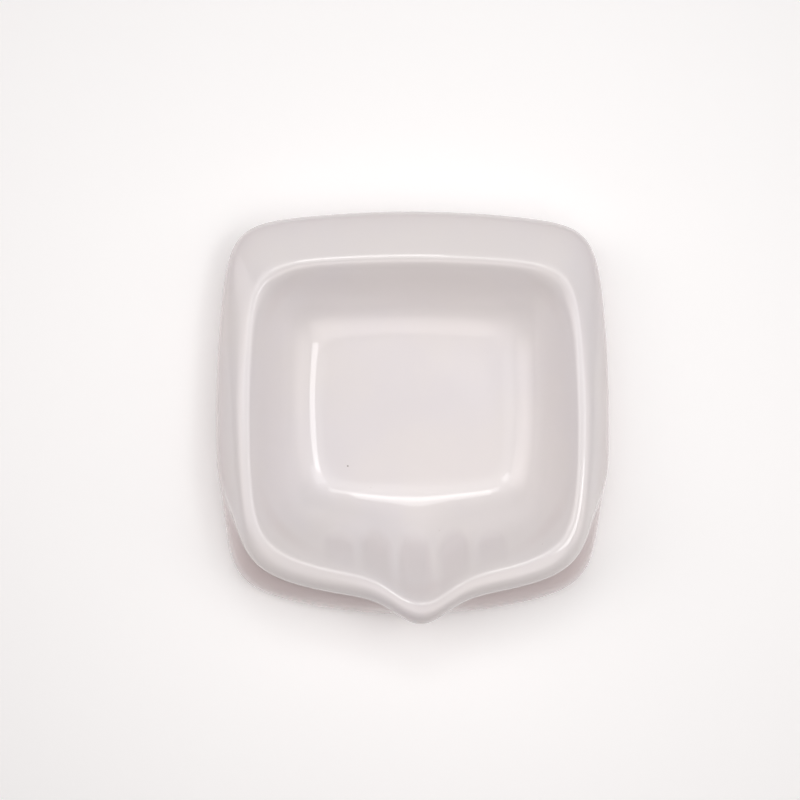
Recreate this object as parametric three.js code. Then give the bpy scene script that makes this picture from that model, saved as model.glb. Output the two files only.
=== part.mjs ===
// A glazed ceramic bedpan with a broad sloping seat at the back and a rolled rim drawn out into a
// pouring lip at the front. It is a hollow-walled casting, made up from five separately cast pieces
// that are stuck together with slip before they are fired: the basin, the seat rim, the outer skirt,
// the base ring that closes the hollow from below, and the unglazed foot ring that it stands on.
//
// Millimetres, +Z up, +Y towards the back. The origin is on the ground, below the middle of the pan.
import * as THREE from "three";

// ---- Driving dimensions ----
const WIDTH = 300; // across the skirt's foot
const LENGTH = 311.4; // front to back, across the skirt's foot
const FOOT_HEIGHT = 3; // the foot ring lifts the pan this much
const FLOOR_Z = 9.5; // top of the basin's floor
const WALL = 5.5; // thickness of the cast walls
const BASE_TOP_Z = 8.5; // top of the ring that closes the hollow wall from below
const SKIRT_FOOT_WALL = 7.5; // the skirt's thickness where the base ring fits inside it
const JOINT_GAP = 0.4; // left open between neighbouring pieces
const VENT = { x: 62, y: 110, radius: 3 }; // lets air out of the hollow wall in the kiln
const FOOT_RING = { outer: 0.9, inner: 0.845 }; // as multiples of the skirt's outline

// The rim's crest is low at the back and high at the front.
const CREST_Z_MIDDLE = 64;
const CREST_SLOPE = 0.105;

// The pouring lip: a smooth pull of the front of the rim, a little right of centre.
const LIP = { x: 5, reach: 19, halfWidth: 26, dip: 5 };

// Outlines seen from above: squared ovals whose sides bulge. The floor's outline is where the
// hollow of the basin meets its flat floor.
const FOOT_OUTLINE = {
  halfWidth: WIDTH / 2, front: LENGTH / 2, back: LENGTH / 2,
  bulge: { side: 0.084, front: 0.176, back: 0.082 }, squareness: 11,
};
const CREST_OUTLINE = {
  halfWidth: 125.4, front: 123.5, back: 117.4,
  bulge: { side: 0.055, front: 0.235, back: 0.066 }, squareness: 8.7,
};
const FLOOR_OUTLINE = {
  halfWidth: 72, front: 56.5, back: 60,
  bulge: { side: 0.08, front: 0.06, back: 0.05 }, squareness: 7,
};
const FLOOR_SEAT = 1.1; // the basin's thick floor, as a multiple of the floor's outline

// A wall section is a list of [reach, height] pairs that steer a smooth curve. Reach is 1 at the
// skirt's foot, 0 at the rim's crest, -1 at the edge of the basin's floor and -2 at its middle.
// Height is a share of the crest's height outside the crest, and of the basin's depth inside it.
const BACK_WALL = [
  [0.985, 0.045], [1.0, 0.1], [1.0, 0.25], [1.0, 0.42], [1.0, 0.53], [0.99, 0.62],
  [0.94, 0.695], [0.8, 0.765], [0.45, 0.88], [0.08, 1.0],
];
const SIDE_WALL = [
  [0.945, 0.04], [0.96, 0.12], [0.97, 0.25], [0.985, 0.37], [1.005, 0.47], [1.0, 0.56],
  [0.88, 0.7], [0.63, 0.83], [0.36, 0.94], [0.13, 1.0],
];
const FRONT_WALL = [
  [0.985, 0.035], [1.0, 0.08], [0.965, 0.19], [0.81, 0.42], [0.52, 0.62], [0.2, 0.72],
  [0.27, 0.775], [0.43, 0.81], [0.41, 0.905], [0.19, 0.99],
];
const BACK_BASIN = [
  [-0.05, 0.985], [-0.15, 0.87], [-0.28, 0.65], [-0.42, 0.425], [-0.56, 0.24], [-0.72, 0.1],
];
const SIDE_BASIN = [
  [-0.05, 1.0], [-0.12, 0.92], [-0.23, 0.7], [-0.36, 0.455], [-0.51, 0.245], [-0.7, 0.095],
];
const FRONT_BASIN = [
  [-0.06, 1.0], [-0.14, 0.92], [-0.27, 0.7], [-0.41, 0.455], [-0.56, 0.25], [-0.73, 0.1],
];
const BASIN_FLOOR = [[-0.9, 0.025], [-1.05, 0.003], [-1.2, 0], [-1.4, 0], [-1.75, 0], [-2, 0]];

// The underside of the seat rim, from above the skirt to above the basin.
const BACK_UNDERSIDE = [[0.82, 0.6], [0.7, 0.68], [0.12, 0.82]];
const SIDE_UNDERSIDE = [[0.68, 0.62], [0.4, 0.77], [0.06, 0.82]];
const FRONT_UNDERSIDE = [[0.02, 0.73], [-0.04, 0.74], [-0.08, 0.75]];

// Where the pieces meet, counted along the wall section's points.
const CREST_INDEX = BACK_WALL.length;
const SKIRT_JOINT = 4.9;
const BASIN_JOINT = CREST_INDEX + 3.3;

// Stations around the pan, as [from, to, count] in degrees from +X: close together at the lip and
// at the corners.
const SECTORS = [
  [-110, -62, 16], [-62, -30, 10], [-30, 28, 7], [28, 60, 10],
  [60, 120, 7], [120, 152, 10], [152, 210, 7], [210, 250, 13],
];

const glaze = () => new THREE.MeshStandardMaterial({ color: 0xe9e4e3, roughness: 0.12, metalness: 0 });
const biscuit = () => new THREE.MeshStandardMaterial({ color: 0xd9cfc2, roughness: 0.85, metalness: 0 });

// ---- Outlines and wall sections ----

// A point of an outline, at an angle from +X.
function outlinePoint(outline, angle) {
  const front = Math.sin(angle) < 0;
  const { side } = outline.bulge;
  const bulge = front ? outline.bulge.front : outline.bulge.back;
  const a = outline.halfWidth / (1 + side);
  const b = (front ? outline.front : outline.back) / (1 + bulge);
  const cos = Math.cos(angle);
  const sin = Math.sin(angle);
  const power = outline.squareness;
  const r = (Math.abs(cos / a) ** power + Math.abs(sin / b) ** power) ** (-1 / power);
  const x = r * cos;
  const y = r * sin;
  return new THREE.Vector2(
    x * (1 + side * (1 - (y / b) ** 2)),
    y * (1 + bulge * (1 - (x / a) ** 2)),
  );
}

// Everything about one station: three outline points, the crest's height, and how much the wall
// there takes after the back's and the front's section.
function stationAt(angle) {
  const crest = outlinePoint(CREST_OUTLINE, angle);
  const up = Math.sin(angle);
  return {
    foot: outlinePoint(FOOT_OUTLINE, angle),
    crest,
    floor: outlinePoint(FLOOR_OUTLINE, angle),
    height: CREST_Z_MIDDLE - CREST_SLOPE * crest.y,
    back: THREE.MathUtils.smoothstep(up, 0, 0.85),
    front: THREE.MathUtils.smoothstep(-up, 0.25, 0.78),
  };
}

// Blends the back's, the side's and the front's version of one point of a section.
function blend(station, back, side, front) {
  const sideShare = 1 - station.back - station.front;
  return back.map((v, i) => v * station.back + side[i] * sideShare + front[i] * station.front);
}

// The lip pulls the roll of the rim fully, and the walls on both sides of it less and less.
function lipShare(reach) {
  const fromInside = THREE.MathUtils.smoothstep(reach, -0.8, -0.1);
  const fromOutside = 1 - THREE.MathUtils.smoothstep(reach, 0.4, 0.95);
  return fromInside * fromOutside;
}

// The place of a [reach, height] pair at a station.
function place(station, [reach, height]) {
  const plan = new THREE.Vector2();
  if (reach >= 0) plan.lerpVectors(station.crest, station.foot, reach);
  else if (reach >= -1) plan.lerpVectors(station.crest, station.floor, -reach);
  else plan.copy(station.floor).multiplyScalar(2 + reach);
  const base = reach < 0 ? FLOOR_Z : 0;
  let z = base + height * (station.height - base);
  if (plan.y < 0) {
    const pull = lipShare(reach) * Math.exp(-(((plan.x - LIP.x) / LIP.halfWidth) ** 2));
    plan.y -= LIP.reach * pull;
    z -= LIP.dip * pull;
  }
  return new THREE.Vector3(plan.x, plan.y, z);
}

// The steering points of the visible skin at a station, from the skirt's foot to the basin's middle.
function skinPoints(station) {
  const wall = BACK_WALL.map((p, i) => blend(station, p, SIDE_WALL[i], FRONT_WALL[i]));
  const basin = BACK_BASIN.map((p, i) => blend(station, p, SIDE_BASIN[i], FRONT_BASIN[i]));
  return [...wall, [0, 1], ...basin, ...BASIN_FLOOR].map((p) => place(station, p));
}

// A uniform cubic B-spline through the neighbourhood of its points, starting and ending on them.
function spline(points, at) {
  const i = Math.min(Math.floor(at), points.length - 2);
  const t = at - i;
  const mirrored = (end, next) => end.clone().multiplyScalar(2).sub(next);
  const before = i > 0 ? points[i - 1] : mirrored(points[0], points[1]);
  const after = i + 2 < points.length ? points[i + 2] : mirrored(points.at(-1), points.at(-2));
  const weights = [(1 - t) ** 3, 3 * t ** 3 - 6 * t ** 2 + 4, -3 * t ** 3 + 3 * t ** 2 + 3 * t + 1, t ** 3];
  const sum = new THREE.Vector3();
  [before, points[i], points[i + 1], after].forEach((p, k) => sum.addScaledVector(p, weights[k] / 6));
  return sum;
}

// A point of the hidden side of a wall: the skin's point, moved into the clay by the wall's thickness.
function behind(station, points, at) {
  const here = spline(points, at);
  const step = 0.02;
  const along = spline(points, Math.min(at + step, points.length - 1)).sub(spline(points, at - step));
  const out = new THREE.Vector3(station.crest.x, station.crest.y, 0).normalize();
  const slope = new THREE.Vector2(along.dot(out), along.z).normalize();
  return here.addScaledVector(out, slope.y * -WALL).add(new THREE.Vector3(0, 0, slope.x * WALL));
}

const range = (from, to, steps) =>
  Array.from({ length: steps + 1 }, (_, i) => from + ((to - from) * i) / steps);

const stations = SECTORS.flatMap(([from, to, count]) =>
  range(from, to, count).slice(0, -1).map((degrees) => stationAt(THREE.MathUtils.degToRad(degrees))));

// ---- Solids ----

// Skins a list of closed loops. The first and last loop are joined to each other, or closed on
// middle points where those are given.
function loft(loops, middles) {
  const count = loops[0].length;
  const position = [...loops, ...(middles ? [middles] : [])].flat().flatMap((p) => p.toArray());
  const index = [];
  const quad = (a, b, c, d) => index.push(a, b, c, a, c, d);
  const rings = middles ? loops.length - 1 : loops.length;
  for (let j = 0; j < rings; j++) {
    const next = ((j + 1) % loops.length) * count;
    for (let i = 0; i < count; i++) {
      const k = (i + 1) % count;
      quad(j * count + i, j * count + k, next + k, next + i);
    }
  }
  if (middles) {
    const [first, last] = [loops.length * count, loops.length * count + 1];
    const end = (loops.length - 1) * count;
    for (let i = 0; i < count; i++) {
      const k = (i + 1) % count;
      index.push(first, k, i);
      index.push(last, end + i, end + k);
    }
  }
  return new THREE.BufferGeometry()
    .setAttribute("position", new THREE.Float32BufferAttribute(position, 3))
    .setIndex(index);
}

// One loop round the pan, from a function of the station and its skin points.
function loop(pointAt) {
  return stations.map((station) => pointAt(station, skinPoints(station)));
}

const lowered = (p, drop) => new THREE.Vector3(p.x, p.y, p.z - drop);

// The skirt's outline, moved inwards, at a height.
function insetFoot(inset, z = 0) {
  return stations.map(({ foot }) => {
    const plan = foot.clone().setLength(foot.length() - inset);
    return new THREE.Vector3(plan.x, plan.y, z);
  });
}

// The outer wall, from its foot up to the groove under the rim.
function skirtGeometry() {
  const outside = [0.5, 1, 1.5, 2, 3, 4];
  const inside = [4, 3, 2.2];
  return loft([
    ...outside.map((at) => loop((s, p) => spline(p, at))),
    loop((s, p) => lowered(spline(p, SKIRT_JOINT), JOINT_GAP)),
    loop((s, p) => lowered(behind(s, p, SKIRT_JOINT), JOINT_GAP)),
    ...inside.map((at) => loop((s, p) => behind(s, p, at))),
    insetFoot(SKIRT_FOOT_WALL, BASE_TOP_Z + 2),
    insetFoot(SKIRT_FOOT_WALL, FOOT_HEIGHT),
    loop((s, p) => spline(p, 0).setZ(FOOT_HEIGHT)),
  ]);
}

// The seat, the roll of the rim and the pouring lip: one ring, solid in the roll.
function seatRimGeometry() {
  const skin = [SKIRT_JOINT, ...range(5.5, 12.5, 14), BASIN_JOINT];
  const underside = BACK_UNDERSIDE.map((p, i) => [p, SIDE_UNDERSIDE[i], FRONT_UNDERSIDE[i]]).reverse();
  return loft([
    ...skin.map((at) => loop((s, p) => spline(p, at))),
    loop((s, p) => behind(s, p, BASIN_JOINT)),
    ...underside.map((versions) => loop((s) => place(s, blend(s, ...versions)))),
    loop((s, p) => behind(s, p, SKIRT_JOINT)),
  ]);
}

// The bowl: sloping walls, a wide hollow round the floor, and a thick floor with an upright edge
// underneath, which the base ring fits round.
function basinGeometry() {
  const inside = [...range(14, 17, 6), 17.4, 18, 19, 20.5];
  const outside = [15.4, 14.7, 14];
  const floorEdge = loop((s) => place(s, [-1, 0]));
  const seat = (grow, z) => floorEdge.map((p) => new THREE.Vector3(p.x * grow, p.y * grow, z));
  return loft(
    [
      seat(FLOOR_SEAT, FOOT_HEIGHT),
      seat(FLOOR_SEAT, BASE_TOP_Z),
      ...outside.map((at) => loop((s, p) => behind(s, p, at))),
      loop((s, p) => lowered(behind(s, p, BASIN_JOINT), JOINT_GAP)),
      loop((s, p) => lowered(spline(p, BASIN_JOINT), JOINT_GAP)),
      ...inside.map((at) => loop((s, p) => spline(p, at))),
    ],
    [new THREE.Vector3(0, 0, FOOT_HEIGHT), new THREE.Vector3(0, 0, FLOOR_Z)],
  );
}

// ---- The flat pieces underneath ----
const outlineOf = (points) => points.map((p) => new THREE.Vector2(p.x, p.y));
const scaled = (points, by) => points.map((p) => p.clone().multiplyScalar(by));
const shrunk = (points, by) => points.map((p) => p.clone().setLength(p.length() - by));

function plate(outer, inner, holes, thickness) {
  const shape = new THREE.Shape(outer);
  shape.holes = [new THREE.Path(inner), ...holes];
  return new THREE.ExtrudeGeometry(shape, { depth: thickness, bevelEnabled: false });
}

// The ring that closes the hollow wall from below, with a vent hole on each side.
function baseRingGeometry() {
  const outer = outlineOf(insetFoot(SKIRT_FOOT_WALL + JOINT_GAP));
  const inner = shrunk(scaled(outlineOf(loop((s) => place(s, [-1, 0]))), FLOOR_SEAT), -JOINT_GAP);
  const vents = [-1, 1].map((side) =>
    new THREE.Path().absarc(side * VENT.x, VENT.y, VENT.radius, 0, 2 * Math.PI));
  return plate(outer, inner, vents, BASE_TOP_Z - FOOT_HEIGHT);
}

function footRingGeometry() {
  const foot = stations.map((s) => s.foot);
  return plate(scaled(foot, FOOT_RING.outer), scaled(foot, FOOT_RING.inner), [], FOOT_HEIGHT);
}

// ---- Assembly ----
const pan = new THREE.Group();

function add(name, geometry, material, z = 0) {
  const mesh = new THREE.Mesh(geometry, material);
  mesh.name = name;
  mesh.position.z = z;
  pan.add(mesh);
}

add("basin", basinGeometry(), glaze());
add("seat_rim", seatRimGeometry(), glaze());
add("skirt", skirtGeometry(), glaze());
add("base_ring", baseRingGeometry(), glaze(), FOOT_HEIGHT);
add("foot_ring", footRingGeometry(), biscuit());

export default pan;
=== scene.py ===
"""A glazed ceramic bedpan, seen from straight above on a pale floor.

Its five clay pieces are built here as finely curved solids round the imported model: the basin, the
seat rim with its pouring lip, the skirt, the base ring and the unglazed foot ring. Metres, +Z up,
+Y towards the back, origin on the floor below the middle of the pan.
"""
import math

import bpy
import numpy as np
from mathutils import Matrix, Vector


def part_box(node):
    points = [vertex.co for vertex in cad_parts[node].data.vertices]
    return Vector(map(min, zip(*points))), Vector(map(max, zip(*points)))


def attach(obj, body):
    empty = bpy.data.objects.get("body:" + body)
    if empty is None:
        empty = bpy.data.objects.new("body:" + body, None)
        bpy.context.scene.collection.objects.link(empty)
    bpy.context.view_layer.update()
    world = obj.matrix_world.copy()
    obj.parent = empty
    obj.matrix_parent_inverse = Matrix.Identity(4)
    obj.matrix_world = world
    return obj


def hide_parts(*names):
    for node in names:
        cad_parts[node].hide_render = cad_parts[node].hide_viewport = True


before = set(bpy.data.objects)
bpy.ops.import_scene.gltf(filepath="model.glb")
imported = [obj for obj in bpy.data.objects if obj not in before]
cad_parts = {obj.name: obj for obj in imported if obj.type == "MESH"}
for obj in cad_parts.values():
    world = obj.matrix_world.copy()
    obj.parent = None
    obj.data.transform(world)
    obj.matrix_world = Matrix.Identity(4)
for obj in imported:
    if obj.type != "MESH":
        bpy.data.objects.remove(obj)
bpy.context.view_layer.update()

# ---- Driving dimensions ----
MM = 0.001
base_low, base_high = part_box("base_ring")
HALF_WIDTH = 150 * MM
HALF_LENGTH = 155.7 * MM
FOOT_HEIGHT = base_low.z
BASE_TOP_Z = base_high.z
FLOOR_Z = 9.5 * MM
WALL = 5.5 * MM
SKIRT_FOOT_WALL = 7.5 * MM

# The rim's crest is low at the back and high at the front.
CREST_Z_MIDDLE = 64 * MM
CREST_SLOPE = 0.105

# The pouring lip: a smooth pull of the front of the rim, a little right of centre.
LIP_X = 5 * MM
LIP_REACH = 19 * MM
LIP_HALF_WIDTH = 26 * MM
LIP_DIP = 5 * MM

# Outlines seen from above, squared ovals with bulging sides: half width, front, back, how much the
# sides, the front and the back bulge, and how square the oval is.
FOOT_OUTLINE = (HALF_WIDTH, HALF_LENGTH, HALF_LENGTH, 0.084, 0.176, 0.082, 11)
CREST_OUTLINE = (125.4 * MM, 123.5 * MM, 117.4 * MM, 0.055, 0.235, 0.066, 8.7)
FLOOR_OUTLINE = (72 * MM, 56.5 * MM, 60 * MM, 0.08, 0.06, 0.05, 7)
FLOOR_SEAT = 1.1  # the basin's thick floor, as a multiple of the floor's outline
FOOT_RING = (0.9, 0.845)  # outer and inner edge, as multiples of the skirt's outline

SEAM = 0.5 * MM  # the rounded edge on both sides of a seam underneath
VENT = (62 * MM, 110 * MM, 3 * MM)  # place and radius of a hole that lets air out in the kiln
IRON_SPECK = (-50 * MM, -40 * MM, FLOOR_Z)  # the one dark speck in the glaze

# Wall sections as [reach, height] pairs. Reach is 1 at the skirt's foot, 0 at the rim's crest, -1 at
# the edge of the basin's floor and -2 at its middle. Height is a share of the crest's height outside
# the crest, and of the basin's depth inside it.
BACK_WALL = [
    [0.985, 0.045], [1.0, 0.1], [1.0, 0.25], [1.0, 0.42], [1.0, 0.53], [0.99, 0.62],
    [0.94, 0.695], [0.8, 0.765], [0.45, 0.88], [0.08, 1.0],
]
SIDE_WALL = [
    [0.945, 0.04], [0.96, 0.12], [0.97, 0.25], [0.985, 0.37], [1.005, 0.47], [1.0, 0.56],
    [0.88, 0.7], [0.63, 0.83], [0.36, 0.94], [0.13, 1.0],
]
FRONT_WALL = [
    [0.985, 0.035], [1.0, 0.08], [0.965, 0.19], [0.81, 0.42], [0.52, 0.62], [0.2, 0.72],
    [0.27, 0.775], [0.43, 0.81], [0.41, 0.905], [0.19, 0.99],
]
CREST = [[0.0, 1.0]]
BACK_BASIN = [[-0.05, 0.985], [-0.15, 0.87], [-0.28, 0.65], [-0.42, 0.425], [-0.56, 0.24], [-0.72, 0.1]]
SIDE_BASIN = [[-0.05, 1.0], [-0.12, 0.92], [-0.23, 0.7], [-0.36, 0.455], [-0.51, 0.245], [-0.7, 0.095]]
FRONT_BASIN = [[-0.06, 1.0], [-0.14, 0.92], [-0.27, 0.7], [-0.41, 0.455], [-0.56, 0.25], [-0.73, 0.1]]
BASIN_FLOOR = [[-0.9, 0.025], [-1.05, 0.003], [-1.2, 0], [-1.4, 0], [-1.75, 0], [-2, 0]]
BACK_UNDERSIDE = [[0.82, 0.6], [0.7, 0.68], [0.12, 0.82]]
SIDE_UNDERSIDE = [[0.68, 0.62], [0.4, 0.77], [0.06, 0.82]]
FRONT_UNDERSIDE = [[0.02, 0.73], [-0.04, 0.74], [-0.08, 0.75]]

# Where the pieces meet, counted along the section's points.
CREST_INDEX = len(BACK_WALL)
SKIRT_JOINT = 4.9
BASIN_JOINT = CREST_INDEX + 3.3
BASIN_FOOT = CREST_INDEX + len(BACK_BASIN)
SECTION_END = BASIN_FOOT + len(BASIN_FLOOR)
SKIN_START, SKIN_STOP = 0.3, SECTION_END - 0.3

# Five shallow flutes run up the basin's front wall towards the lip. They start, are at their deepest
# and end so many of the section's points inside the crest.
FLUTES = 5
FLUTE_SPACING = 28.3 * MM
FLUTE_DEPTH = 1.8 * MM
FLUTE_X = 1.2 * MM
FLUTE_START, FLUTE_DEEPEST, FLUTE_END = 1.3, 3.7, 5.2

# How fine the surfaces are, and the angle between faces that leaves an edge sharp.
STATIONS = 480
ROWS_PER_POINT = 10
SHARP = math.radians(35)

# Colours.
WHITE = (1, 1, 1)
WARM = (1, 0.92, 0.9)
COOL_GLAZE, WARM_GLAZE = (0.84, 0.805, 0.818, 1), (0.855, 0.816, 0.81, 1)
# Painted shade, darker and pinker, low down on the outside; and the glaze that pools in the flutes, darker
# there as painted shade.
SKIRT_PAINTED_SHADE, POOLED_GLAZE_AND_SHADE = (0.655, 0.54, 0.535, 1), (0.79, 0.745, 0.75, 1)
SPECK, DARK_SPECK = (0.33, 0.25, 0.2, 1), (0.2, 0.15, 0.12, 1)
DARK_CLAY, PALE_CLAY, SANDY_CLAY = (0.62, 0.53, 0.43, 1), (0.74, 0.66, 0.56, 1), (0.5, 0.43, 0.36, 1)
SHELF_GREY = (0.36, 0.34, 0.32, 1)
FLOOR_TONES = (0.945, 0.945, 0.945, 1), (0.955, 0.955, 0.955, 1)

# The painted shade's level at the middle of the pan, low on the outside: full below the first height and
# gone above the second.
SKIRT_SHADE_LEVELS = 20 * MM, 62 * MM


# ---- Outlines and sections ----
def smoothstep(x, low, high):
    t = np.clip((x - low) / (high - low), 0, 1)
    return t * t * (3 - 2 * t)


def outline(shape, angles):
    """The points of an outline's shape, at angles from +X."""
    half_width, front, back, bulge_side, bulge_front, bulge_back, squareness = shape
    cos, sin = np.cos(angles), np.sin(angles)
    bulge = np.where(sin < 0, bulge_front, bulge_back)
    a = half_width / (1 + bulge_side)
    b = np.where(sin < 0, front, back) / (1 + bulge)
    r = (abs(cos / a) ** squareness + abs(sin / b) ** squareness) ** (-1 / squareness)
    x, y = r * cos, r * sin
    return np.stack(
        [x * (1 + bulge_side * (1 - (y / b) ** 2)), y * (1 + bulge * (1 - (x / a) ** 2))], axis=-1
    )


def even_angles():
    """Angles of stations that are evenly spaced along the foot's outline."""
    dense = np.linspace(-math.pi, math.pi, 20001)
    steps = np.linalg.norm(np.diff(outline(FOOT_OUTLINE, dense), axis=0), axis=1)
    walked = np.concatenate([[0], np.cumsum(steps)])
    return np.interp(np.linspace(0, walked[-1], STATIONS, endpoint=False), walked, dense)


ANGLES = even_angles()
FOOT = outline(FOOT_OUTLINE, ANGLES)
CREST_PLAN = outline(CREST_OUTLINE, ANGLES)
FLOOR_PLAN = outline(FLOOR_OUTLINE, ANGLES)
CREST_Z = CREST_Z_MIDDLE - CREST_SLOPE * CREST_PLAN[:, 1]
BACK_SHARE = smoothstep(np.sin(ANGLES), 0.0, 0.85)
FRONT_SHARE = smoothstep(-np.sin(ANGLES), 0.25, 0.78)
OUTWARD = CREST_PLAN / np.linalg.norm(CREST_PLAN, axis=1, keepdims=True)


def blend(back, side, front):
    """One section's pairs for every station, between the back's, the side's and the front's."""
    shares = np.stack([BACK_SHARE, 1 - BACK_SHARE - FRONT_SHARE, FRONT_SHARE])
    return np.einsum("vn,vkd->nkd", shares, np.array([back, side, front], float))


def place(pairs):
    """[reach, height] pairs of every station, as points."""
    reach, height = pairs[..., 0], pairs[..., 1]
    foot, crest, floor = FOOT[:, None], CREST_PLAN[:, None], FLOOR_PLAN[:, None]
    outside, inside = np.clip(reach, 0, None)[..., None], np.clip(-reach, 0, 1)[..., None]
    plan = crest + (foot - crest) * outside + (floor - crest) * inside
    plan = plan * np.clip(2 + reach, 0, 1)[..., None]
    base = np.where(reach < 0, FLOOR_Z, 0)
    z = base + height * (CREST_Z[:, None] - base)
    share = smoothstep(reach, -0.8, -0.1) * (1 - smoothstep(reach, 0.4, 0.95))
    pull = share * np.exp(-(((plan[..., 0] - LIP_X) / LIP_HALF_WIDTH) ** 2)) * (plan[..., 1] < 0)
    return np.stack([plan[..., 0], plan[..., 1] - LIP_REACH * pull, z - LIP_DIP * pull], axis=-1)


def skin_points():
    """The steering points of the visible skin, from the skirt's foot to the basin's middle."""
    floor = BASIN_FLOOR
    wall = blend(BACK_WALL, SIDE_WALL, FRONT_WALL)
    inside = blend(BACK_BASIN + floor, SIDE_BASIN + floor, FRONT_BASIN + floor)
    crest = blend(CREST, CREST, CREST)
    return place(np.concatenate([wall, crest, inside], axis=1))


def spline(points, at):
    """Uniform cubic B-splines through the neighbourhood of points, sampled at places along them."""
    last = points.shape[1] - 1
    ends = 2 * points[:, [0, last]] - points[:, [1, last - 1]]
    padded = np.concatenate([ends[:, :1], points, ends[:, 1:]], axis=1)
    at = np.asarray(at, float)
    i = np.clip(np.floor(at).astype(int), 0, last - 1)
    t = (at - i)[:, None]
    weights = [(1 - t) ** 3, 3 * t**3 - 6 * t**2 + 4, -3 * t**3 + 3 * t**2 + 3 * t + 1, t**3]
    return sum(padded[:, i + k] * w / 6 for k, w in enumerate(weights))


SKIN = skin_points()


def behind(at):
    """The hidden side of the wall: the skin moved into the clay by the wall's thickness."""
    at = np.asarray(at, float)
    step = 0.02  # of the way from one of the section's points to the next
    along = spline(SKIN, np.minimum(at + step, SECTION_END)) - spline(SKIN, at - step)
    run = np.einsum("nmd,nd->nm", along[..., :2], OUTWARD)
    rise = along[..., 2]
    size = np.hypot(run, rise)
    here = spline(SKIN, at)
    here[..., :2] -= OUTWARD[:, None] * (WALL * rise / size)[..., None]
    here[..., 2] += WALL * run / size
    return here


# ---- Meshes ----
def grid_normals(grid):
    """Outward normals of a station-by-row grid of points."""
    along = np.gradient(grid, axis=1)
    around = np.roll(grid, -1, axis=0) - np.roll(grid, 1, axis=0)
    normal = np.cross(around, along)
    return normal / np.linalg.norm(normal, axis=-1, keepdims=True)


def unevenness(points):
    """The slight waves that hand finishing and firing leave in clay, in metres along the normal."""
    rng = np.random.default_rng(5)
    total = np.zeros(points.shape[:-1])
    waves, steepness = 14, 0.0011
    for _ in range(waves):
        direction = rng.normal(size=3)
        direction /= np.linalg.norm(direction)
        length = rng.uniform(28, 80) * MM
        phase = 2 * math.pi * (points @ direction) / length + rng.uniform(0, 6.28)
        total += steepness * length * np.sin(phase)
    return total / math.sqrt(waves)


def flute_depth(grid, rows):
    """How deep the flutes are at each point of the skin.

    They deepen downwards, end in a round, and are fainter away from the middle one.
    """
    cell = (grid[..., 0] - FLUTE_X) / FLUTE_SPACING
    nearest = np.clip(np.round(cell), -(FLUTES // 2), FLUTES // 2)
    off_middle = abs(cell - nearest) * 2
    across = 1 - smoothstep(off_middle, 0.5, 1.0)
    down = rows - CREST_INDEX
    deepening = np.clip((down - FLUTE_START) / (FLUTE_DEEPEST - FLUTE_START), 0, 1)
    end = FLUTE_END - 0.2 * nearest**2 - 0.8 * off_middle**2
    before_end = 1 - smoothstep(down - end, -0.75, 0.2)
    fading = 1 - 0.06 * nearest**2
    return FLUTE_DEPTH * across * deepening * before_end * fading * (grid[..., 1] < 0)


def rows_between(start, end):
    """Places along the section, evenly spaced between two of its joints."""
    count = max(2, round((end - start) * ROWS_PER_POINT))
    return np.linspace(start, end, count + 1)


SKIRT_ROWS = rows_between(SKIN_START, SKIRT_JOINT)
RIM_ROWS = rows_between(SKIRT_JOINT, BASIN_JOINT)
BASIN_ROWS = rows_between(BASIN_JOINT, SKIN_STOP)
ALL_ROWS = np.concatenate([SKIRT_ROWS, RIM_ROWS[1:], BASIN_ROWS[1:]])


def finished_skin():
    """The whole visible skin with its relief, its normals, and each point's share of the flutes' depth,
    which sets the glaze that pools in them and their painted shade.
    """
    grid = spline(SKIN, ALL_ROWS)
    normals = grid_normals(grid)
    flutes = flute_depth(grid, ALL_ROWS)
    grid = grid + normals * (unevenness(grid) - flutes)[..., None]
    return grid, grid_normals(grid), flutes / FLUTE_DEPTH


GRID, NORMALS, FLUTE_POOL_AND_SHADE = finished_skin()


def rings_of(grid):
    """A station-by-row grid as a list of rings."""
    return list(np.swapaxes(grid, 0, 1))


def skin_part(rows):
    """The skin between two joints: its rings, their normals and the glaze that pools in the flutes, which
    also paints shade there.
    """
    first = np.argmin(abs(ALL_ROWS - rows[0]))
    part = slice(first, first + len(rows))
    return rings_of(GRID[:, part]), rings_of(NORMALS[:, part]), rings_of(FLUTE_POOL_AND_SHADE[:, part])


def at_height(plan, z):
    """An outline as a ring at one height."""
    return np.column_stack([plan, np.full(len(plan), z)])


def grown(plan, by):
    """An outline with every point moved outwards, or inwards where by is negative."""
    length = np.linalg.norm(plan, axis=1, keepdims=True)
    return plan * (length + by) / length


def loft(name, rings, caps=(), normals=(), flute_pool_and_shade=()):
    """A closed solid through rings of points. The last ring joins the first, or caps close both.

    Where the last rings are skin, their normals are given, and the glaze that pools in the flutes, which
    also paints shade there.
    """
    count = len(rings[0])
    vertices = np.concatenate([*rings, np.reshape(caps, (-1, 3))])
    i = np.arange(count)
    k = (i + 1) % count
    faces = []
    for j in range(len(rings) - 1 if len(caps) else len(rings)):
        here, there = j * count, (j + 1) % len(rings) * count
        faces += np.stack([here + i, here + k, there + k, there + i], axis=1).tolist()
    if len(caps):
        first, end = len(rings) * count, (len(rings) - 1) * count
        faces += np.stack([np.full(count, first), k, i], axis=1).tolist()
        faces += np.stack([np.full(count, first + 1), end + i, end + k], axis=1).tolist()
    mesh = bpy.data.meshes.new(name)
    mesh.from_pydata(vertices.tolist(), [], faces)
    mesh.update()
    mesh.shade_smooth()
    mesh.set_sharp_from_angle(angle=SHARP)
    if len(normals):
        start = (len(rings) - len(normals)) * count
        finish_skin(mesh, start, np.concatenate(normals), np.concatenate(flute_pool_and_shade))
    obj = bpy.data.objects.new(name, mesh)
    bpy.context.scene.collection.objects.link(obj)
    return obj


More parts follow.
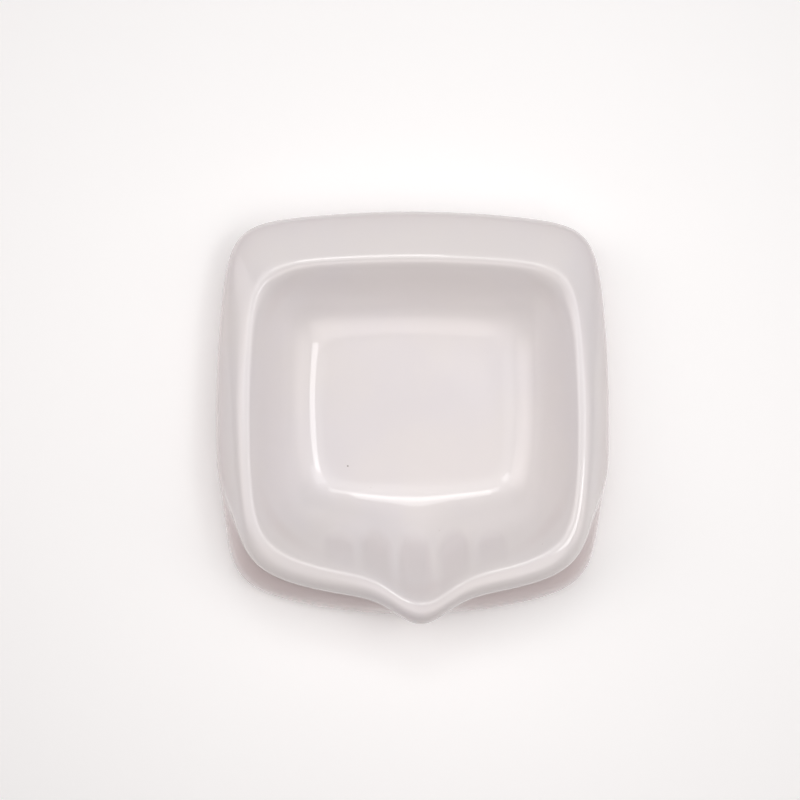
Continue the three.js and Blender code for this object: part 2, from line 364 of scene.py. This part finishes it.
def finish_skin(mesh, start, normals, flute_pool_and_shade):
    """Gives the mesh's vertices from start on their normals and the glaze that pools in the flutes, which
    also paints shade there. The others keep their own.
    """
    stop = start + len(normals)
    corner_vertex = np.zeros(len(mesh.loops), int)
    mesh.loops.foreach_get("vertex_index", corner_vertex)
    corner_normals = np.array([corner.vector for corner in mesh.corner_normals])
    on_skin = (corner_vertex >= start) & (corner_vertex < stop)
    corner_normals[on_skin] = normals[corner_vertex[on_skin] - start]
    mesh.normals_split_custom_set(corner_normals.tolist())
    glaze = np.zeros(len(mesh.vertices))
    glaze[start:stop] = flute_pool_and_shade
    mesh.attributes.new("flute_pool_and_shade", "FLOAT", "POINT").data.foreach_set("value", glaze)


def make_skirt():
    rings, normals, flute_pool_and_shade = skin_part(SKIRT_ROWS)
    inset = grown(FOOT, -SKIRT_FOOT_WALL)
    return loft("skirt_body", [
        *rings_of(behind(np.linspace(SKIRT_JOINT, 2.2, 12))),
        at_height(inset, BASE_TOP_Z + 2 * MM),
        at_height(inset, FOOT_HEIGHT + SEAM),
        at_height(grown(inset, SEAM), FOOT_HEIGHT),
        at_height(rings[0][:, :2] * 0.99, FOOT_HEIGHT),
        *rings,
    ], normals=normals, flute_pool_and_shade=flute_pool_and_shade)


def make_seat_rim():
    rings, normals, flute_pool_and_shade = skin_part(RIM_ROWS)
    underside = place(blend(BACK_UNDERSIDE, SIDE_UNDERSIDE, FRONT_UNDERSIDE))
    return loft("seat_rim_body", [
        behind([BASIN_JOINT])[:, 0],
        *rings_of(underside)[::-1],
        behind([SKIRT_JOINT])[:, 0],
        *rings,
    ], normals=normals, flute_pool_and_shade=flute_pool_and_shade)


def make_basin():
    rings, normals, flute_pool_and_shade = skin_part(BASIN_ROWS)
    seat = FLOOR_PLAN * FLOOR_SEAT
    return loft("basin_body", [
        at_height(grown(seat, -SEAM), FOOT_HEIGHT),
        at_height(seat, FOOT_HEIGHT + SEAM),
        at_height(seat, BASE_TOP_Z),
        *rings_of(behind(np.linspace(BASIN_FOOT, BASIN_JOINT, 14))),
        *rings,
    ], caps=[[0, 0, FOOT_HEIGHT], [0, 0, FLOOR_Z]], normals=normals, flute_pool_and_shade=flute_pool_and_shade)


def vent_cutter(side):
    """A round plug with a flared foot, for the vent hole on one side."""
    x, y, radius = VENT
    turns = np.linspace(0, 2 * math.pi, 48, endpoint=False)
    circle = np.column_stack([np.cos(turns), np.sin(turns)])
    profile = [
        (radius + 2 * SEAM, -SEAM), (radius + 2 * SEAM, 0), (radius + SEAM * 0.6, SEAM * 0.5),
        (radius, 3 * SEAM), (radius, BASE_TOP_Z),
    ]
    rings = [at_height([side * x, y] + r * circle, FOOT_HEIGHT + z) for r, z in profile]
    caps = [[side * x, y, rings[0][0, 2]], [side * x, y, rings[-1][0, 2]]]
    return loft("vent_cutter", rings, caps=caps)


def make_base_ring():
    outer = grown(FOOT, -SKIRT_FOOT_WALL)
    inner = FLOOR_PLAN * FLOOR_SEAT
    obj = loft("base_plate", [
        at_height(outer, BASE_TOP_Z),
        at_height(inner, BASE_TOP_Z),
        at_height(inner, FOOT_HEIGHT + SEAM),
        at_height(grown(inner, SEAM), FOOT_HEIGHT),
        at_height(grown(outer, -SEAM), FOOT_HEIGHT),
        at_height(outer, FOOT_HEIGHT + SEAM),
    ])
    for side in (-1, 1):
        cutter = vent_cutter(side)
        cut = obj.modifiers.new("vent", "BOOLEAN")
        cut.operation, cut.solver, cut.object = "DIFFERENCE", "EXACT", cutter
        bpy.context.view_layer.update()
        evaluated = obj.evaluated_get(bpy.context.evaluated_depsgraph_get())
        cut_mesh = bpy.data.meshes.new_from_object(evaluated)
        obj.modifiers.clear()
        obj.data = cut_mesh
        bpy.data.objects.remove(cutter)
    obj.data.shade_smooth()
    obj.data.set_sharp_from_angle(angle=SHARP)
    return obj


def make_foot_ring():
    outer, inner = FOOT * FOOT_RING[0], FOOT * FOOT_RING[1]
    round_off = 0.9 * MM
    rings = [at_height(outer, FOOT_HEIGHT), at_height(inner, FOOT_HEIGHT)]
    quarter = np.linspace(0, math.pi / 2, 6)
    for plan, side, turns in ((inner, 1, quarter), (outer, -1, quarter[::-1])):
        for t in turns:
            inset = round_off * (1 - math.cos(t))
            rings.append(at_height(grown(plan, side * inset), round_off * (1 - math.sin(t))))
    return loft("foot_ring_body", rings)


# ---- Materials ----
def material(name):
    """A new material, its node tree and its shader."""
    made = bpy.data.materials.new(name)
    made.use_nodes = True
    return made, made.node_tree, made.node_tree.nodes["Principled BSDF"]


def node(tree, kind, inputs=(), **settings):
    """A new node. Each input is linked to a socket or set to a constant."""
    made = tree.nodes.new(kind)
    for key, value in settings.items():
        setattr(made, key, value)
    for key, value in dict(inputs).items():
        if isinstance(value, bpy.types.NodeSocket):
            tree.links.new(value, made.inputs[key])
        else:
            made.inputs[key].default_value = value
    return made


def noise(tree, where, scale, detail=2.0, roughness=0.5):
    """Noise between 0 and 1, with scale lumps to a metre."""
    made = node(tree, "ShaderNodeTexNoise", {
        "Vector": where, "Scale": scale, "Detail": detail, "Roughness": roughness,
    })
    return made.outputs["Fac"]


def ramp(tree, value, low, high, to_low=0.0, to_high=1.0):
    """A smooth step from one value to another as the input goes from low to high."""
    made = node(tree, "ShaderNodeMapRange", {
        "Value": value, "From Min": low, "From Max": high, "To Min": to_low, "To Max": to_high,
    }, interpolation_type="SMOOTHSTEP")
    return made.outputs["Result"]


def mixed(tree, share, first, second):
    """The first colour, with a share of the second."""
    return node(tree, "ShaderNodeMix", {0: share, 6: first, 7: second}, data_type="RGBA").outputs[2]


def math_node(tree, operation, first, second):
    """The result of an operation on two numbers."""
    return node(tree, "ShaderNodeMath", {0: first, 1: second}, operation=operation).outputs[0]


def glaze_material():
    """White glaze over pale clay, with faint clouds, iron specks and orange peel.

    Low down on the outside it is darker and pinker: painted shade. In the flutes it is darker: glaze that
    pools there, and painted shade.
    """
    made, tree, shader = material("glaze")
    where = node(tree, "ShaderNodeTexCoord").outputs["Object"]
    clouds = ramp(tree, noise(tree, where, 11, 3), 0.35, 0.65)
    colour = mixed(tree, clouds, COOL_GLAZE, WARM_GLAZE)
    split = node(tree, "ShaderNodeSeparateXYZ", {"Vector": where})
    from_middle = node(tree, "ShaderNodeVectorMath", {0: where}, operation="LENGTH").outputs["Value"]
    # Painted shade: darker and pinker low down on the outside, fading out above the shade's levels.
    outside = ramp(tree, from_middle, 134 * MM, 148 * MM)
    slope = math_node(tree, "MULTIPLY", split.outputs["Y"], CREST_SLOPE)
    level = math_node(tree, "ADD", split.outputs["Z"], slope)
    painted_shade = math_node(tree, "MULTIPLY", outside, ramp(tree, level, *SKIRT_SHADE_LEVELS, 1.0, 0.0))
    colour = mixed(tree, painted_shade, colour, SKIRT_PAINTED_SHADE)
    # Painted shade in the flutes, mixed with the glaze that pools there: darker where they are deeper.
    flute_pool_and_shade = node(tree, "ShaderNodeAttribute", attribute_name="flute_pool_and_shade").outputs["Fac"]
    colour = mixed(tree, flute_pool_and_shade, colour, POOLED_GLAZE_AND_SHADE)
    cells = node(tree, "ShaderNodeTexVoronoi", {"Vector": where, "Scale": 95, "Randomness": 1.0})
    draw = node(tree, "ShaderNodeSeparateColor", {"Color": cells.outputs["Color"]}).outputs[0]
    chosen = math_node(tree, "GREATER_THAN", draw, 0.93)
    spot = ramp(tree, cells.outputs["Distance"], 0.022, 0.04, 1.0, 0.0)
    speck = math_node(tree, "MULTIPLY", math_node(tree, "MULTIPLY", chosen, spot), 0.55)
    colour = mixed(tree, speck, colour, SPECK)
    big_speck = node(tree, "ShaderNodeVectorMath", {0: where, 1: IRON_SPECK}, operation="DISTANCE")
    stain = ramp(tree, big_speck.outputs["Value"], 0.35 * MM, 0.9 * MM, 0.8, 0.0)
    colour = mixed(tree, stain, colour, DARK_SPECK)
    tree.links.new(colour, shader.inputs["Base Color"])
    roughness = ramp(tree, noise(tree, where, 45, 3), 0.3, 0.7, 0.28, 0.4)
    tree.links.new(roughness, shader.inputs["Roughness"])
    shader.inputs["Specular IOR Level"].default_value = 0.25
    shader.inputs["Coat Weight"].default_value = 1.0
    shader.inputs["Coat Roughness"].default_value = 0.025
    shader.inputs["Coat IOR"].default_value = 1.5
    peel = noise(tree, where, 420, 2)
    peel_bump = node(tree, "ShaderNodeBump", {"Height": peel, "Strength": 0.04, "Distance": 0.2 * MM})
    pit = ramp(tree, big_speck.outputs["Value"], 0.1 * MM, 0.6 * MM, 0.0, 1.0)
    pit_bump = node(tree, "ShaderNodeBump", {
        "Height": pit, "Strength": 0.6, "Distance": 0.2 * MM, "Normal": peel_bump.outputs["Normal"]})
    tree.links.new(pit_bump.outputs["Normal"], shader.inputs["Normal"])
    tree.links.new(pit_bump.outputs["Normal"], shader.inputs["Coat Normal"])
    return made


def biscuit_material():
    """Bare fired clay: warm, matte and sandy, and grey where it has rubbed on shelves."""
    made, tree, shader = material("biscuit")
    where = node(tree, "ShaderNodeTexCoord").outputs["Object"]
    blotches = ramp(tree, noise(tree, where, 35, 4), 0.3, 0.7)
    colour = mixed(tree, blotches, DARK_CLAY, PALE_CLAY)
    grains = ramp(tree, noise(tree, where, 1500, 2), 0.55, 0.75)
    colour = mixed(tree, grains, colour, SANDY_CLAY)
    height = node(tree, "ShaderNodeSeparateXYZ", {"Vector": where}).outputs["Z"]
    tread = ramp(tree, height, 0, 0.8 * MM, 1.0, 0.0)
    rubbed = ramp(tree, noise(tree, where, 120, 5, 0.7), 0.4, 0.6, 0.1, 0.7)
    colour = mixed(tree, math_node(tree, "MULTIPLY", tread, rubbed), colour, SHELF_GREY)
    tree.links.new(colour, shader.inputs["Base Color"])
    tree.links.new(ramp(tree, grains, 0, 1, 0.8, 0.95), shader.inputs["Roughness"])
    sand = noise(tree, where, 1800, 3, 0.7)
    bump = node(tree, "ShaderNodeBump", {"Height": sand, "Strength": 0.5, "Distance": 0.15 * MM})
    tree.links.new(bump.outputs["Normal"], shader.inputs["Normal"])
    return made


def floor_material():
    """A matte, almost white floor, faintly lit from below."""
    made, tree, shader = material("floor")
    where = node(tree, "ShaderNodeTexCoord").outputs["Object"]
    tone = ramp(tree, noise(tree, where, 2, 2), 0.3, 0.7)
    tree.links.new(mixed(tree, tone, *FLOOR_TONES), shader.inputs["Base Color"])
    shader.inputs["Roughness"].default_value = 0.9
    shader.inputs["Specular IOR Level"].default_value = 0.2
    shader.inputs["Emission Color"].default_value = (1, 1, 1, 1)
    shader.inputs["Emission Strength"].default_value = 0.14
    return made


# ---- Floor, light and camera ----
def make_floor():
    """A square floor, 6 m wide."""
    mesh = bpy.data.meshes.new("floor")
    reach = 3
    corners = [(-reach, -reach, 0), (reach, -reach, 0), (reach, reach, 0), (-reach, reach, 0)]
    mesh.from_pydata(corners, [], [(0, 1, 2, 3)])
    obj = bpy.data.objects.new("floor", mesh)
    bpy.context.scene.collection.objects.link(obj)
    mesh.materials.append(floor_material())


def area_light(name, where, width, depth, power, spread=180, colour=WHITE):
    """A softbox that faces the pan. A narrow spread, in degrees, fades its reflection's edges."""
    data = bpy.data.lights.new(name, "AREA")
    data.shape = "RECTANGLE"
    data.size, data.size_y = width, depth
    data.energy = power
    data.color = colour
    data.spread = math.radians(spread)
    obj = bpy.data.objects.new(name, data)
    obj.location = where
    obj.rotation_euler = (-Vector(where)).to_track_quat("-Z", "Y").to_euler()
    bpy.context.scene.collection.objects.link(obj)


def soft_light(name, azimuth, elevation, distance, size, power, colour=WHITE):
    """A big square softbox at an angle from +X and an angle above the floor, in degrees."""
    turn, rise = math.radians(azimuth), math.radians(elevation)
    level = distance * math.cos(rise)
    where = (level * math.cos(turn), level * math.sin(turn), distance * math.sin(rise))
    area_light(name, where, size, size, power, spread=60, colour=colour)


def make_lights():
    """Softboxes all round, brightest behind the pan, and small ones overhead that shine in the glaze.

    The strip and window on the right shine along the left of the basin's floor, those at the back
    along its front, and the corner strip at its front right.
    """
    soft_light("back_right", 45, 62, 1.8, 1.6, 1.45)
    soft_light("back_left", 135, 62, 1.8, 1.6, 1.4)
    soft_light("left", 168, 36, 2.0, 1.6, 2.05, WARM)
    soft_light("right", 0, 34, 2.0, 1.6, 1.2, WARM)
    soft_light("front_right", 300, 58, 2.0, 1.4, 1.2, WARM)
    soft_light("front_left", 240, 62, 2.0, 1.4, 0.35, WARM)
    area_light("right_strip", (0.62, -0.03, 1.4), 0.48, 0.27, 1.7)
    area_light("right_window", (0.72, 0.35, 1.4), 0.5, 0.5, 1.2)
    area_light("back_strip", (0.0, 0.86, 1.4), 0.85, 0.24, 1.5)
    area_light("back_window", (-0.05, 1.0, 1.4), 0.35, 0.35, 1.2)
    area_light("corner_strip", (-0.6, 0.4, 1.4), 0.25, 0.3, 0.6)
    world = bpy.data.worlds.new("studio")
    world.use_nodes = True
    world.node_tree.nodes["Background"].inputs["Color"].default_value = (1, 1, 1, 1)
    world.node_tree.nodes["Background"].inputs["Strength"].default_value = 0.02
    bpy.context.scene.world = world


def make_camera():
    """Almost straight down from 1.2 m, a little left of the pan's middle and turned to face it."""
    data = bpy.data.cameras.new("camera")
    data.lens = 70.63
    data.sensor_width = 36
    camera = bpy.data.objects.new("camera", data)
    camera.location = (-0.042, 0.0113, 1.23)
    camera.rotation_euler = (0, math.radians(-1.53), 0)
    bpy.context.scene.collection.objects.link(camera)
    bpy.context.scene.camera = camera
    bpy.context.scene.view_settings.view_transform = "Standard"


# ---- Assembly ----
glaze, biscuit = glaze_material(), biscuit_material()
for make, cad_node, finish, slot in (
    (make_basin, "basin", glaze, "glaze"),
    (make_seat_rim, "seat_rim", glaze, "glaze"),
    (make_skirt, "skirt", glaze, "glaze"),
    (make_base_ring, "base_ring", glaze, "glaze"),
    (make_foot_ring, "foot_ring", biscuit, "biscuit"),
):
    piece = make()
    piece.data.materials.clear()
    piece.data.materials.append(finish)
    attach(piece, "root")
    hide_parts(cad_node)

make_floor()
make_lights()
make_camera()
